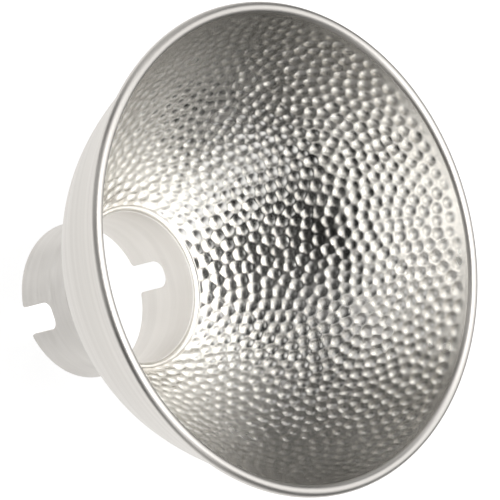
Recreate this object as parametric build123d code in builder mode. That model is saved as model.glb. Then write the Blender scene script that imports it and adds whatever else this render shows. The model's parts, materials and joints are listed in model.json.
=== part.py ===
from build123d import *
import os
from math import cos, radians, sin

# Hammered reflector of a flash bulb gun, in millimetres.
# +Z is the optical axis and points out of the mouth.
# The origin is the centre of the neck's rear end, where the reflector seats on the gun.

# Sheet metal
sheet = 0.7  # thickness of the bowl and of the collar
fit_gap = 0.05  # radial gap between two pieces that are pressed together

# Rim: the sheet is curled outwards round a wire
rim_radius = 63.5  # outside of the rolled bead
rim_height = 82.5  # centre of the bead above the neck's rear end
bead_radius = 1.6
rim_wall_angle = 15.0  # lean of the wall from the axis where the curl starts
curl_end_angle = -130.0  # where the curl stops, just short of the wall

# Neck and throat
neck_bore_radius = 19.75
bend_height = 20.9  # top of the straight bore
lip_bend_radius = 2.0  # bend of the collar's bright lip
lip_length = 0.6  # straight end of the lip, lying on the bowl
throat_angle = 42.6  # lean of the bowl's wall from the axis at the throat
flange_height = 18.5  # lower edge of the bowl's flange round the collar

# Bowl: its inside, from the throat to the rim, passes through these radii and heights
bowl_stations = [(39.5, 42.0), (48.2, 53.0), (54.0, 64.0), (57.5, 73.0)]
wall_steps = 10  # places where the outside follows the inside, one sheet away

# Bayonet notches, cut in from the neck's rear end on the Y axis
notch_width = 7.4
notch_depth = 11.0
notch_floor_radius = 2.8
notch_mouth_radius = 0.8

# Derived sizes
neck_outer_radius = neck_bore_radius + sheet
bend_centre = (neck_bore_radius + lip_bend_radius, bend_height)
bowl_bend_radius = lip_bend_radius - sheet - fit_gap
bead_centre = (rim_radius - bead_radius, rim_height)
channel_radius = bead_radius - sheet
wire_radius = channel_radius - fit_gap
curl_start_angle = 180.0 - rim_wall_angle


def ring_point(centre, radius, angle):
    """Point on a circle of the profile, at an angle in degrees."""
    return (centre[0] + radius * cos(radians(angle)), centre[1] + radius * sin(radians(angle)))


def leaning(angle):
    """Direction of a wall that leans outwards from the axis by an angle in degrees."""
    return (sin(radians(angle)), cos(radians(angle)))


# Bowl: one spun sheet, from the flange round the collar to the end of the rim's curl
with BuildPart() as reflector_bowl:
    with BuildSketch(Plane.XZ):
        with BuildLine():
            inner_bend = CenterArc(bend_centre, bowl_bend_radius, 180, -throat_angle)
            curl_start = ring_point(bead_centre, bead_radius, curl_start_angle)
            wall_ends = (leaning(throat_angle), leaning(rim_wall_angle))
            inside = Spline(inner_bend @ 1, *bowl_stations, curl_start, tangents=wall_ends)
            curl_sweep = curl_end_angle - curl_start_angle
            curl = CenterArc(bead_centre, bead_radius, curl_start_angle, curl_sweep)
            channel = CenterArc(bead_centre, channel_radius, curl_end_angle, -curl_sweep)
            Line(curl @ 1, channel @ 0)
            outside_points = []
            for step in range(wall_steps + 1):
                place = inside @ (step / wall_steps)
                along = inside % (step / wall_steps)
                outside_points.append(place + Vector(along.Y, -along.X) * sheet)
            outside = Spline(*outside_points, tangents=wall_ends)
            outer_bend = CenterArc(bend_centre, bowl_bend_radius - sheet, 180, -throat_angle)
            flange_outer = (neck_outer_radius + fit_gap + sheet, flange_height)
            flange_inner = (neck_outer_radius + fit_gap, flange_height)
            Polyline(outer_bend @ 0, flange_outer, flange_inner, inner_bend @ 0)
        make_face()
    revolve(axis=Axis.Z)
reflector_bowl.part.label = "reflector_bowl"

# Neck collar: a tube whose front end is flared over the throat, with two notches behind
with BuildPart() as neck_collar:
    with BuildSketch(Plane.XZ):
        with BuildLine():
            bright_bend = CenterArc(bend_centre, lip_bend_radius, 180, -throat_angle)
            hidden_bend = CenterArc(bend_centre, lip_bend_radius - sheet, 180, -throat_angle)
            lip_run = Vector(*leaning(throat_angle)) * lip_length
            bright_run = Line(bright_bend @ 1, bright_bend @ 1 + lip_run)
            hidden_run = Line(hidden_bend @ 1, hidden_bend @ 1 + lip_run)
            Line(bright_run @ 1, hidden_run @ 1)
            Polyline(bright_bend @ 0, (neck_bore_radius, 0), (neck_outer_radius, 0), hidden_bend @ 0)
        make_face()
    revolve(axis=Axis.Z)
    with BuildSketch(Plane.XZ):
        notch = Rectangle(notch_width, notch_depth, align=(Align.CENTER, Align.MIN))
        fillet(notch.vertices().group_by(Axis.Y)[-1], notch_floor_radius)
    extrude(amount=rim_radius, both=True, mode=Mode.SUBTRACT)
    mouth_edges = neck_collar.edges().filter_by(Axis.Y).group_by(Axis.Z)[0]
    fillet(mouth_edges, notch_mouth_radius)
neck_collar.part.label = "neck_collar"

# Rim wire: the ring that the rim is curled round
with BuildPart() as rim_wire:
    with BuildSketch(Plane.XZ):
        with Locations(bead_centre):
            Circle(wire_radius)
    revolve(axis=Axis.Z)
rim_wire.part.label = "rim_wire"

os.makedirs("parts", exist_ok=True)
export_step(reflector_bowl.part, "parts/reflector_bowl.step")
export_step(neck_collar.part, "parts/neck_collar.step")
export_step(rim_wire.part, "parts/rim_wire.step")
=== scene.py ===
import json
from math import atan2, cos, hypot, pi, radians, sin

import bpy
import numpy as np
from mathutils import Matrix, Vector, kdtree


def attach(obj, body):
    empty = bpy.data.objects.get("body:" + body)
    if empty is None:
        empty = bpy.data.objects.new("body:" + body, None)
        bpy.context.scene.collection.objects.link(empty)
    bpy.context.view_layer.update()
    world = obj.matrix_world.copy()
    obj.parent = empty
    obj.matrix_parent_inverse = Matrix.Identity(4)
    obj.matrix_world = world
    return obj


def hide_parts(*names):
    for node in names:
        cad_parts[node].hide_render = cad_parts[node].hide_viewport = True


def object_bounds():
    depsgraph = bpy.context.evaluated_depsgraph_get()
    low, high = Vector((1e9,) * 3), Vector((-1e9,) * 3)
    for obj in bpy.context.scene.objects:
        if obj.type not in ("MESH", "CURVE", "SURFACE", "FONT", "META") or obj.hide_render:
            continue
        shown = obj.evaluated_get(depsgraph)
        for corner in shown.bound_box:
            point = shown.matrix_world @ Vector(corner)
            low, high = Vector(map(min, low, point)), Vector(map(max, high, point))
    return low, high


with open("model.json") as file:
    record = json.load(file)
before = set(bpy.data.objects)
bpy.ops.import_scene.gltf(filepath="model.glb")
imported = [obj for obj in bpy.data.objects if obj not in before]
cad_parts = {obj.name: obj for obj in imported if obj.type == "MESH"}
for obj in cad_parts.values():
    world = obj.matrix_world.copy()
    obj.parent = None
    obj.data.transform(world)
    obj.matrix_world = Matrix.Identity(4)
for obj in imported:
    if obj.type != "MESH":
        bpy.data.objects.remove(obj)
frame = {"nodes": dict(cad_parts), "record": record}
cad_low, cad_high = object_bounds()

MM = 0.001

# ---------------------------------------------------------------- sizes, in metres and degrees
mounts = {mount["name"]: mount for mount in frame["record"]["mounts"]}
neck_bore_radius = mounts["neck_bore"]["dims"]["r_mm"] * MM
bend_height = mounts["neck_bore"]["dims"]["length_mm"] * MM
rim_radius = (cad_high.x - cad_low.x) / 2
bead_radius = 1.6 * MM
rim_height = cad_high.z - bead_radius
sheet = 0.7 * MM
fit_gap = 0.05 * MM
rim_wall_angle = 15.0
curl_end_angle = -130.0
lip_bend_radius = 2.0 * MM
lip_length = 0.6 * MM
throat_angle = 42.6
flange_height = 18.5 * MM
flange_chamfer = 0.15 * MM
bowl_stations = [(39.5, 42.0), (48.2, 53.0), (54.0, 64.0), (57.5, 73.0)]  # radius and height, in mm
notch_width = 7.4 * MM
notch_depth = 11.0 * MM
notch_floor_radius = 2.8 * MM
notch_mouth_radius = 0.8 * MM
neck_edge_bevel = 0.12 * MM

neck_outer_radius = neck_bore_radius + sheet
bend_centre = (neck_bore_radius + lip_bend_radius, bend_height)
bowl_bend_radius = lip_bend_radius - sheet - fit_gap
bead_centre = (rim_radius - bead_radius, rim_height)
channel_radius = bead_radius - sheet

# Hammer marks: low round domes in random places
mark_pitch = 3.4 * MM
mark_reach = 4.05 * MM  # marks nearer than this push each other apart
mark_push = 0.3
mark_rounds = 16
mark_neighbours = 10
marks_blended = 5  # nearest marks that shape one point of the surface
mark_radius = 1.58 * MM
mark_curvature = 5.0 * MM  # radius of curvature of one mark
mark_level_spread = 0.04 * MM
valley_softness = 0.035 * MM
wall_level = 90  # percentile of the marked surface's heights that lies on the smooth wall
marks_end = 0.8 * MM  # plain band under the bead
marks_fade = 1.6 * MM  # length over which the marks die out under the rim
throat_band = 0.3 * MM  # plain band at the throat
throat_fade = 1.2 * MM

inside_step = 0.495 * MM
outside_step = 2.0 * MM
outside_columns = 160
collar_rows = 12
rng = np.random.default_rng(11)


# ---------------------------------------------------------------- the profile
def leaning(angle):
    """Direction in the profile that leans outwards from the axis by an angle."""
    return np.array([sin(radians(angle)), cos(radians(angle))])


def arc(centre, radius, start, end, count):
    """Points of the profile on an arc, from one angle to another."""
    angles = np.radians(np.linspace(start, end, count))
    return np.stack([centre[0] + radius * np.cos(angles), centre[1] + radius * np.sin(angles)], 1)


def lengths_along(curve):
    """Distance of each point from the curve's first point, along the curve."""
    return np.concatenate([[0], np.cumsum(np.hypot(*np.diff(curve, axis=0).T))])


def smooth_curve(points, first_direction, last_direction, count):
    """Cubic spline through the points, with the two end directions given."""
    points = np.array(points)
    knots = lengths_along(points)
    spans = np.diff(knots)
    n = len(points)
    system = np.eye(n)
    right = np.zeros((n, 2))
    right[0] = first_direction
    right[-1] = last_direction
    for i in range(1, n - 1):
        before, after = spans[i - 1], spans[i]
        system[i, i - 1:i + 2] = 1 / before, 2 / before + 2 / after, 1 / after
        rise_before = (points[i] - points[i - 1]) / before**2
        rise_after = (points[i + 1] - points[i]) / after**2
        right[i] = 3 * (rise_before + rise_after)
    slopes = np.linalg.solve(system, right)
    places = np.linspace(0, knots[-1], count)
    span = np.clip(np.searchsorted(knots, places, side="right") - 1, 0, n - 2)
    t = ((places - knots[span]) / spans[span])[:, None]
    width = spans[span][:, None]
    curve = (2 * t**3 - 3 * t**2 + 1) * points[span] + (t**3 - 2 * t**2 + t) * width * slopes[span]
    return curve + (3 * t**2 - 2 * t**3) * points[span + 1] + (t**3 - t**2) * width * slopes[span + 1]


def side_of(curve):
    """Unit normal of a profile curve at each point, to the left of its direction."""
    along = np.gradient(curve, axis=0)
    along /= np.hypot(*along.T)[:, None]
    return np.stack([-along[:, 1], along[:, 0]], 1)


def spaced(curve, step):
    """The same curve with evenly spaced points."""
    lengths = lengths_along(curve)
    places = np.linspace(0, lengths[-1], max(2, round(lengths[-1] / step)) + 1)
    return np.stack([np.interp(places, lengths, curve[:, 0]), np.interp(places, lengths, curve[:, 1])], 1)


# ---------------------------------------------------------------- meshes
def ring(radius, height, angles):
    """Vertices at the given angles round the axis."""
    return np.stack([radius * np.cos(angles), radius * np.sin(angles), np.full(len(angles), height)], 1)


def ring_faces(first, second):
    """Faces between two rings of vertices, given as index lists going round the same way."""
    a, b = len(first), len(second)
    if a == b:
        return [(first[i], second[i], second[(i + 1) % a], first[(i + 1) % a]) for i in range(a)]
    faces = []
    i = j = 0
    while i < a or j < b:
        if j == b or (i < a and (i + 1) * b <= (j + 1) * a):
            faces.append((first[i % a], second[j % b], first[(i + 1) % a]))
            i += 1
        else:
            faces.append((first[i % a], second[j % b], second[(j + 1) % b]))
            j += 1
    return faces


def closed_faces(loops, ring_materials):
    """Faces from each ring to the next and from the last to the first, and their material numbers."""
    faces, indices = [], []
    for k, loop in enumerate(loops):
        following = (k + 1) % len(loops)
        strip = ring_faces(loop, loops[following])
        faces.extend(strip)
        indices.extend([ring_materials[following]] * len(strip))
    return faces, indices


def new_piece(name, vertices, faces, materials, indices):
    mesh = bpy.data.meshes.new(name)
    mesh.from_pydata([tuple(v) for v in vertices], [], faces)
    mesh.validate()
    for material in materials:
        mesh.materials.append(material)
    mesh.polygons.foreach_set("material_index", indices)
    mesh.polygons.foreach_set("use_smooth", [True] * len(mesh.polygons))
    mesh.update()
    piece = bpy.data.objects.new(name, mesh)
    bpy.context.scene.collection.objects.link(piece)
    return piece


# ---------------------------------------------------------------- hammer marks
def on_wall(wall, lengths, places, angles):
    """Points on the bowl's inside, by distance along the profile and angle round the axis."""
    r = np.interp(places, lengths, wall[:, 0])
    z = np.interp(places, lengths, wall[:, 1])
    return np.stack([r * np.cos(angles), r * np.sin(angles), z], 1)


def kd_tree(points):
    tree = kdtree.KDTree(len(points))
    for i, point in enumerate(points):
        tree.insert(point, i)
    tree.balance()
    return tree


def mark_seeds(wall):
    """Centres of the marks, strewn over the wall and pushed apart, and the height of each one's top."""
    lengths = lengths_along(wall)
    leans = np.arctan2(np.gradient(wall[:, 0]), np.gradient(wall[:, 1]))
    radii = wall[:, 0]
    share = np.concatenate([[0], np.cumsum((radii[1:] + radii[:-1]) * np.diff(lengths))])
    area_of_one = 0.866 * mark_pitch**2  # in an even triangular pattern
    count = round(pi * share[-1] / area_of_one)
    places = np.interp(rng.uniform(0, share[-1], count), share, lengths)
    angles = rng.uniform(0, 2 * pi, count)
    for _ in range(mark_rounds):
        centres = on_wall(wall, lengths, places, angles)
        tree = kd_tree(centres)
        pushes = np.zeros((count, 3))
        for i, centre in enumerate(centres):
            for place, k, d in tree.find_n(centre, mark_neighbours):
                if k != i and d < mark_reach:
                    pushes[i] += (centre - np.array(place)) / d * (mark_reach - d) * mark_push
        around = np.stack([-np.sin(angles), np.cos(angles), np.zeros(count)], 1)
        lean = np.interp(places, lengths, leans)
        up = np.stack([np.sin(lean) * np.cos(angles), np.sin(lean) * np.sin(angles), np.cos(lean)], 1)
        places = np.clip(places + (pushes * up).sum(1), 0, lengths[-1])
        angles = angles + (pushes * around).sum(1) / np.interp(places, lengths, radii)
    return on_wall(wall, lengths, places, angles), rng.normal(0, mark_level_spread, count)


def hammered(points, centres, levels):
    """Height and slope of the hammered surface at each point: domes with soft, flat valleys between."""
    tree = kd_tree(centres)
    heights = np.empty(len(points))
    slopes = np.empty((len(points), 3))
    valley = -mark_radius**2 / (2 * mark_curvature)
    for i, point in enumerate(points):
        nearest = tree.find_n(point, marks_blended)
        reach = np.array([d for _, _, d in nearest])
        domes = levels[[k for _, k, _ in nearest]] - reach**2 / (2 * mark_curvature)
        domes = np.append(domes, valley)
        shares = np.exp((domes - domes.max()) / valley_softness)
        heights[i] = domes.max() + valley_softness * np.log(shares.sum())
        away = np.array([point - place for place, _, _ in nearest])
        slopes[i] = -(shares[:-1] / shares.sum()) @ away / mark_curvature
    return heights, slopes


# ---------------------------------------------------------------- bowl
def bowl_section():
    """The bowl's inside wall from throat to rim, and the runs that lead on round the sheet and back,
    each with its material number: 0 hammered metal, 1 spun metal."""
    curl_start_angle = 180.0 - rim_wall_angle
    throat_bend = arc(bend_centre, bowl_bend_radius, 180, 180 - throat_angle, 7)
    curl = arc(bead_centre, bead_radius, curl_start_angle, curl_end_angle, 25)
    channel = arc(bead_centre, channel_radius, curl_end_angle, curl_start_angle, 13)
    stations = [tuple(throat_bend[-1])] + [(r * MM, z * MM) for r, z in bowl_stations] + [tuple(curl[0])]
    wall = smooth_curve(stations, leaning(throat_angle), leaning(rim_wall_angle), 400)
    outer_bend = arc(bend_centre, bowl_bend_radius - sheet, 180 - throat_angle, 180, 7)
    back = wall - side_of(wall) * sheet
    back[0] = outer_bend[0]
    back[-1] = channel[-1]
    flange_inner = neck_outer_radius + fit_gap
    flange_outer = flange_inner + sheet
    flange = np.array([
        (flange_outer, flange_height + flange_chamfer),
        (flange_outer - flange_chamfer, flange_height),
        (flange_inner + flange_chamfer, flange_height),
        (flange_inner, flange_height + flange_chamfer)])
    runs = [
        (curl[1:], 1),
        (channel[:-1], 1),
        (spaced(back[::-1], outside_step), 1),
        (outer_bend[1:], 1),
        (flange, 1),
        (throat_bend[:-1], 0)]
    return wall, runs


def hammer_inside(vertices, loops, wall, inner):
    """Moves the inside's vertices to the hammered surface, and returns that surface's normals."""
    inner_total = sum(len(loop) for loop in loops)
    heights, slopes = hammered([Vector(v) for v in vertices[:inner_total]], *mark_seeds(wall))
    heights -= np.percentile(heights, wall_level)
    lengths = lengths_along(inner)
    from_rim = lengths[-1] - lengths
    depth = np.clip((from_rim - marks_end) / marks_fade, 0, 1)
    depth *= np.clip((lengths - throat_band) / throat_fade, 0, 1)
    normals = np.empty((inner_total, 3))
    for (side_r, side_z), share, loop in zip(side_of(inner), depth, loops):
        angle = np.arctan2(vertices[loop, 1], vertices[loop, 0])
        out = ring(side_r, side_z, angle)
        slope = slopes[loop] - out * (slopes[loop] * out).sum(1)[:, None]
        normals[loop] = out - slope * share
        vertices[loop] += out * (heights[loop] * share)[:, None]
    return normals


def build_bowl(inside_metal, outside_metal):
    wall, runs = bowl_section()
    inner = spaced(wall, inside_step)
    rings = [(r, z, 8 * round(2 * pi * r / inside_step / 8), 0) for r, z in inner]
    for points, material in runs:
        rings.extend((r, z, outside_columns, material) for r, z in points)
    vertices, loops = [], []
    for r, z, count, _ in rings:
        loops.append(list(range(len(vertices), len(vertices) + count)))
        vertices.extend(ring(r, z, 2 * pi * np.arange(count) / count))
    vertices = np.array(vertices)
    hammered_normals = hammer_inside(vertices, loops[:len(inner)], wall, inner)
    faces, indices = closed_faces(loops, [material for _, _, _, material in rings])
    piece = new_piece("bowl_sheet", vertices, faces, [inside_metal, outside_metal], indices)
    plain_normals = np.empty(len(vertices) * 3, dtype=np.float32)
    piece.data.vertex_normals.foreach_get("vector", plain_normals)
    normals = plain_normals.reshape(-1, 3).astype(float)
    normals[:len(hammered_normals)] = hammered_normals
    normals /= np.linalg.norm(normals, axis=1)[:, None]
    piece.data.normals_split_custom_set_from_vertices(normals)
    return piece


# ---------------------------------------------------------------- collar
def notch_outline():
    """Half of one notch's outline as (distance from its middle, height), from floor to mouth."""
    half = notch_width / 2
    middle = np.stack([np.linspace(0, half - notch_floor_radius, 3)[:-1], np.full(2, notch_depth)], 1)
    floor_corner = (half - notch_floor_radius, notch_depth - notch_floor_radius)
    floor = arc(floor_corner, notch_floor_radius, 90, 0, 9)
    side_heights = np.linspace(notch_depth - notch_floor_radius, notch_mouth_radius, 7)[1:-1]
    side = np.stack([np.full(len(side_heights), half), side_heights], 1)
    mouth = arc((half + notch_mouth_radius, notch_mouth_radius), notch_mouth_radius, 180, 270, 6)
    return np.concatenate([middle, floor, side, mouth])


def rear_edge():
    """Angles and heights of the neck's rear edge all round, and evenly spaced angles to go with them."""
    quarter = pi / 2 * neck_outer_radius
    outline = notch_outline()
    rest = np.linspace(outline[-1, 0], quarter, 22)[1:]
    outline = np.concatenate([outline, np.stack([rest, np.zeros(len(rest))], 1)])
    mirrored = np.stack([2 * quarter - outline[-2::-1, 0], outline[-2::-1, 1]], 1)
    half_turn = np.concatenate([outline, mirrored])[:-1]  # the next notch starts where this one ends
    steps = np.hypot(np.diff(half_turn[:, 0], append=2 * quarter),
                     np.diff(half_turn[:, 1], append=notch_depth))
    even = np.concatenate([[0], np.cumsum(steps)[:-1]]) / steps.sum() * pi
    angles = half_turn[:, 0] / neck_outer_radius
    angles = np.concatenate([angles, angles + pi]) - pi / 2
    even_angles = np.concatenate([even, even + pi]) - pi / 2
    return angles, np.tile(half_turn[:, 1], 2), even_angles


def tube_rings(radius, edge_angles, edge_heights, even_angles):
    """Rings up the neck, from its notched rear edge to level and evenly spaced ones."""
    rings = []
    for row in range(collar_rows):
        share = row / collar_rows
        blend = min(1.0, share * 1.6)  # evenly spaced from five eighths of the way up
        angles = edge_angles * (1 - blend) + even_angles * blend
        heights = edge_heights * (1 - share) + bend_height * share
        rings.append(np.stack([radius * np.cos(angles), radius * np.sin(angles), heights], 1))
    return rings


def lip_rings(radius, angles):
    """Rings of the flared lip: its bend, then a short straight run."""
    bend = arc(bend_centre, radius, 180, 180 - throat_angle, 9)
    run = np.linspace(0, 1, 3)[1:, None] * leaning(throat_angle) * lip_length + bend[-1]
    return [ring(r, z, angles) for r, z in np.concatenate([bend, run])]


def build_collar(tube_metal, lip_metal):
    edge_angles, edge_heights, even_angles = rear_edge()
    bore = tube_rings(neck_bore_radius, edge_angles, edge_heights, even_angles)
    lip = lip_rings(lip_bend_radius, even_angles)
    outside = tube_rings(neck_outer_radius, edge_angles, edge_heights, even_angles)
    under_lip = lip_rings(lip_bend_radius - sheet, even_angles)
    rings = bore + lip + under_lip[::-1] + outside[::-1]
    count = len(even_angles)
    loops = [list(range(k * count, (k + 1) * count)) for k in range(len(rings))]
    bright = range(len(bore) + 1, len(bore) + len(lip))
    faces, indices = closed_faces(loops, [1 if k in bright else 0 for k in range(len(rings))])
    piece = new_piece("neck_tube", np.concatenate(rings), faces, [tube_metal, lip_metal], indices)
    bevel = piece.modifiers.new("edges", "BEVEL")
    bevel.width = neck_edge_bevel
    bevel.segments = 2
    bevel.limit_method = "ANGLE"
    bevel.angle_limit = radians(40)
    return piece


# ---------------------------------------------------------------- materials
def node(tree, kind, **inputs):
    """A shader node with its input values set by name."""
    made = tree.nodes.new("ShaderNode" + kind)
    for name, value in inputs.items():
        made.inputs[name.replace("_", " ")].default_value = value
    return made


def calculation(tree, operation, *values):
    made = tree.nodes.new("ShaderNodeMath")
    made.operation = operation
    for i, value in enumerate(values):
        if isinstance(value, (int, float)):
            made.inputs[i].default_value = value
        else:
            tree.links.new(value, made.inputs[i])
    return made.outputs[0]


def ramp(tree, value, low, high, start=0.3, end=0.7):
    """The value between start and end as a number between low and high."""
    made = node(tree, "MapRange", From_Min=start, From_Max=end, To_Min=low, To_Max=high)
    tree.links.new(value, made.inputs["Value"])
    return made.outputs[0]


def noise(tree, vector, scale, detail=3.0):
    made = node(tree, "TexNoise", Scale=scale, Detail=detail)
    tree.links.new(vector, made.inputs["Vector"])
    return made.outputs["Fac"]


def object_place(tree):
    return tree.nodes.new("ShaderNodeTexCoord").outputs["Object"]


def lathe_coordinates(tree, lines_per_metre, breaks):
    """Coordinates that change fast across the turning marks and slowly along them."""
    apart = tree.nodes.new("ShaderNodeSeparateXYZ")
    tree.links.new(object_place(tree), apart.inputs[0])
    x, y, z = apart.outputs
    x_squared = calculation(tree, "MULTIPLY", x, x)
    y_squared = calculation(tree, "MULTIPLY", y, y)
    radius = calculation(tree, "SQRT", calculation(tree, "ADD", x_squared, y_squared))
    across = calculation(tree, "MULTIPLY", radius, lines_per_metre)
    height = calculation(tree, "MULTIPLY", z, lines_per_metre)
    joined = tree.nodes.new("ShaderNodeCombineXYZ")
    tree.links.new(calculation(tree, "ADD", across, height), joined.inputs[0])
    for i, part in enumerate((x, y)):
        along = calculation(tree, "MULTIPLY", calculation(tree, "DIVIDE", part, radius), breaks)
        tree.links.new(along, joined.inputs[i + 1])
    return joined.outputs[0]


def metal(name, colour, roughness, anisotropic=0.0):
    material = bpy.data.materials.new(name)
    material.use_nodes = True
    shader = material.node_tree.nodes["Principled BSDF"]
    shader.inputs["Metallic"].default_value = 1.0
    shader.inputs["Base Color"].default_value = (*colour, 1)
    shader.inputs["Roughness"].default_value = roughness
    shader.inputs["Anisotropic"].default_value = anisotropic
    shader.inputs["Anisotropic Rotation"].default_value = 0.25  # widest across the turning marks
    return material, material.node_tree, shader


def tinted(tree, shader, factor, dark, light):
    """Base colour between two tones of the metal."""
    mix = tree.nodes.new("ShaderNodeMix")
    mix.data_type = "RGBA"
    mix.inputs["A"].default_value = (*dark, 1)
    mix.inputs["B"].default_value = (*light, 1)
    tree.links.new(factor, mix.inputs["Factor"])
    tree.links.new(mix.outputs["Result"], shader.inputs["Base Color"])


def raised(tree, shader, height, distance):
    bump = node(tree, "Bump", Strength=1.0, Distance=distance)
    tree.links.new(height, bump.inputs["Height"])
    tree.links.new(bump.outputs["Normal"], shader.inputs["Normal"])


def hammered_aluminium():
    """Polished metal with faint clouds and a fine grain."""
    material, tree, shader = metal("hammered_aluminium", (0.85, 0.838, 0.81), 0.24)
    place = object_place(tree)
    cloud = noise(tree, place, 60.0)
    grain = noise(tree, place, 1300.0, 4.0)
    tinted(tree, shader, cloud, (0.81, 0.792, 0.755), (0.89, 0.877, 0.848))
    tree.links.new(ramp(tree, cloud, 0.2, 0.28), shader.inputs["Roughness"])
    raised(tree, shader, grain, 0.012 * MM)
    return material


def turned_aluminium(name, tones, roughness, lines, breaks, anisotropic):
    """Aluminium with turning marks that run round the axis."""
    material, tree, shader = metal(name, tones[1], roughness[0], anisotropic)
    lathe = lathe_coordinates(tree, lines, breaks)
    fine = noise(tree, lathe, 1.0, 2.0)
    broad = noise(tree, lathe, 0.12, 2.0)
    tinted(tree, shader, ramp(tree, broad, 0.0, 1.0), *tones)
    tree.links.new(ramp(tree, fine, *roughness), shader.inputs["Roughness"])
    raised(tree, shader, fine, 0.002 * MM)
    tangent = tree.nodes.new("ShaderNodeTangent")
    tangent.direction_type = "RADIAL"
    tangent.axis = "Z"
    tree.links.new(tangent.outputs[0], shader.inputs["Tangent"])
    return material


def drawn_steel():
    material, tree, shader = metal("drawn_steel", (0.52, 0.52, 0.53), 0.35)
    patches = noise(tree, object_place(tree), 240.0)
    tinted(tree, shader, patches, (0.44, 0.44, 0.45), (0.6, 0.6, 0.61))
    tree.links.new(ramp(tree, patches, 0.28, 0.45), shader.inputs["Roughness"])
    return material


inside_metal = hammered_aluminium()
outside_metal = turned_aluminium(
    "spun_aluminium", tones=((0.63, 0.605, 0.57), (0.73, 0.705, 0.67)),
    roughness=(0.34, 0.44), lines=2600.0, breaks=2.0, anisotropic=0.5)
collar_metal = turned_aluminium(
    "brushed_aluminium", tones=((0.78, 0.755, 0.72), (0.83, 0.805, 0.77)),
    roughness=(0.38, 0.5), lines=3600.0, breaks=2.5, anisotropic=0.9)

bowl = build_bowl(inside_metal, outside_metal)
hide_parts("reflector_bowl")
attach(bowl, "root")
collar = build_collar(collar_metal, inside_metal)
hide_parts("neck_collar")
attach(collar, "root")
frame["nodes"]["rim_wire"].material_slots[0].material = drawn_steel()

# ---------------------------------------------------------------- camera
view_azimuth = radians(-5.19)
view_elevation = radians(48.68)
view_roll = radians(75.86)
view_distance = 2.021
view_focus = Vector((0, 0, rim_height))
off_centre = (9.44 * MM, 0.31 * MM)  # how far right of and above the picture's middle the focus is

turn = Matrix.Rotation(view_azimuth, 3, "Z") @ Matrix.Rotation(pi / 2 - view_elevation, 3, "X")
turn = turn @ Matrix.Rotation(view_roll, 3, "Z")
right, up, back = turn.col
camera_data = bpy.data.cameras.new("camera")
camera_data.sensor_width = 36
camera_data.lens = 576
camera_data.clip_start = 0.1
camera_data.clip_end = 50
camera = bpy.data.objects.new("camera", camera_data)
aim = view_focus - right * off_centre[0] - up * off_centre[1]
camera.matrix_world = Matrix.Translation(aim + back * view_distance) @ turn.to_4x4()
bpy.context.scene.collection.objects.link(camera)
bpy.context.scene.camera = camera

# ---------------------------------------------------------------- stage
floor_reach = 0.3
floor_gap = 0.05 * MM
floor_glow = 0.9

corners = [(-floor_reach, -floor_reach, 0), (floor_reach, -floor_reach, 0),
           (floor_reach, floor_reach, 0), (-floor_reach, floor_reach, 0)]
floor_mesh = bpy.data.meshes.new("floor")
floor_mesh.from_pydata(corners, [], [(0, 1, 2, 3)])
floor = bpy.data.objects.new("floor", floor_mesh)
floor.location.z = -floor_gap
bpy.context.scene.collection.objects.link(floor)
floor_paint = bpy.data.materials.new("pale_floor")
floor_paint.use_nodes = True
paint = floor_paint.node_tree.nodes["Principled BSDF"]
paint.inputs["Base Color"].default_value = (0.3, 0.3, 0.3, 1)
paint.inputs["Roughness"].default_value = 0.9
paint.inputs["Specular IOR Level"].default_value = 0.0
paint.inputs["Emission Color"].default_value = (1, 1, 1, 1)
paint.inputs["Emission Strength"].default_value = floor_glow
floor_mesh.materials.append(floor_paint)

# Soft round lights, each placed by its angles right of and above the camera as seen from the bowl:
# degrees right, degrees up, radius of the even part, radius of the soft edge, brightness
soft_lights = [
    (42, 8, 14, 29, 3.5),
    (30, 45, 10, 25, 1.4),
    (28, -36, 10, 22, 1.1),
    (85, 12, 20, 38, 1.2),
    (-30, 35, 6, 22, 0.7),
    (-42, -5, 8, 20, 0.5),
    (0, 100, 20, 40, 0.55),
    (0, -100, 20, 40, 0.55),
]


def light_direction(degrees_right, degrees_up):
    tilt = radians(hypot(degrees_right, degrees_up))
    around = atan2(degrees_up, degrees_right)
    return back * cos(tilt) + (right * cos(around) + up * sin(around)) * sin(tilt)


def build_world():
    """The soft lights, which the camera itself sees as a plain white backdrop."""
    world = bpy.data.worlds.new("studio")
    world.use_nodes = True
    tree = world.node_tree
    lights = tree.nodes["Background"]
    view = tree.nodes.new("ShaderNodeTexCoord").outputs["Generated"]
    total = 0.0
    for degrees_right, degrees_up, even, edge, brightness in soft_lights:
        product = tree.nodes.new("ShaderNodeVectorMath")
        product.operation = "DOT_PRODUCT"
        product.inputs[1].default_value = light_direction(degrees_right, degrees_up)
        tree.links.new(view, product.inputs[0])
        inside = node(tree, "MapRange", From_Min=cos(radians(edge)), From_Max=cos(radians(even)),
                      To_Max=brightness)
        inside.interpolation_type = "SMOOTHSTEP"
        tree.links.new(product.outputs["Value"], inside.inputs["Value"])
        total = calculation(tree, "ADD", inside.outputs[0], total)
    lights.inputs["Color"].default_value = (1, 1, 1, 1)
    tree.links.new(total, lights.inputs["Strength"])
    backdrop = node(tree, "Background", Color=(1, 1, 1, 1), Strength=1.0)
    seen = tree.nodes.new("ShaderNodeLightPath").outputs["Is Camera Ray"]
    choice = tree.nodes.new("ShaderNodeMixShader")
    tree.links.new(seen, choice.inputs[0])
    tree.links.new(lights.outputs[0], choice.inputs[1])
    tree.links.new(backdrop.outputs[0], choice.inputs[2])
    tree.links.new(choice.outputs[0], tree.nodes["World Output"].inputs[0])
    bpy.context.scene.world = world


build_world()
bpy.context.scene.view_settings.view_transform = "Standard"
